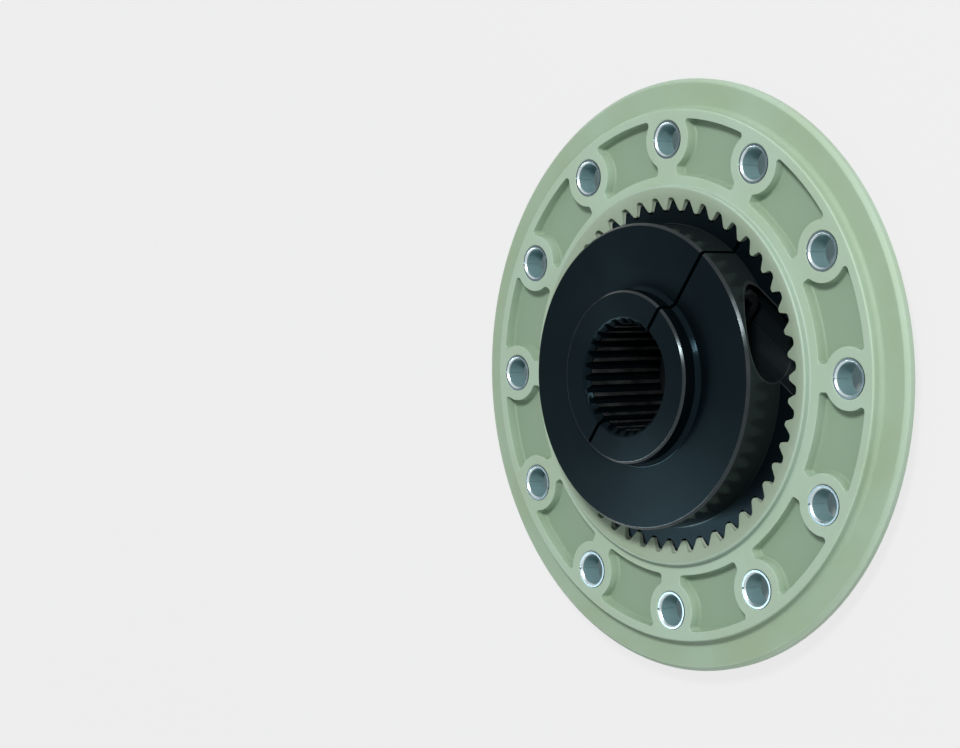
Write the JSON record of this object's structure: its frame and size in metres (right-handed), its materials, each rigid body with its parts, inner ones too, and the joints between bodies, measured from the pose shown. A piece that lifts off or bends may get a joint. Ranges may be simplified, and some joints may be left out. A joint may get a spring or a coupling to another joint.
{
  "type": "flywheel coupling",
  "caption": "Flange coupling for a flywheel: a moulded polyamide disc with internal teeth and split steel bolt sleeves drives a splined steel clamp hub that plugs into it.",
  "frame": {"origin": "centre of the flange's flat back face, which lies against the flywheel", "axes": "+Z along the shaft towards the hub's nose, +Y through one bolt sleeve, +X at right angles to both"},
  "size_m": [0.3143, 0.3142, 0.057],
  "materials": {
    "polyamide": "natural polyamide, pale grey green, slightly translucent, moulded satin",
    "zinc_steel": "bright zinc plated steel",
    "black_steel": "black oxide on turned steel, semi gloss",
    "screw_steel": "black oxide screw steel"
  },
  "bodies": {
    "flange_side": {"flange": "polyamide", "sleeve_01": "zinc_steel", "sleeve_02": "zinc_steel", "sleeve_03": "zinc_steel", "sleeve_04": "zinc_steel", "sleeve_05": "zinc_steel", "sleeve_06": "zinc_steel", "sleeve_07": "zinc_steel", "sleeve_08": "zinc_steel", "sleeve_09": "zinc_steel", "sleeve_10": "zinc_steel", "sleeve_11": "zinc_steel", "sleeve_12": "zinc_steel"},
    "hub_side": {"clamp_hub": "black_steel", "clamp_screw": "screw_steel"}
  },
  "joints": [
    {"name": "hub_slide", "type": "slide", "parent": "flange_side", "child": "hub_side", "axis": [0, 0, 1], "range_m": [0, 0.016]}
  ]
}
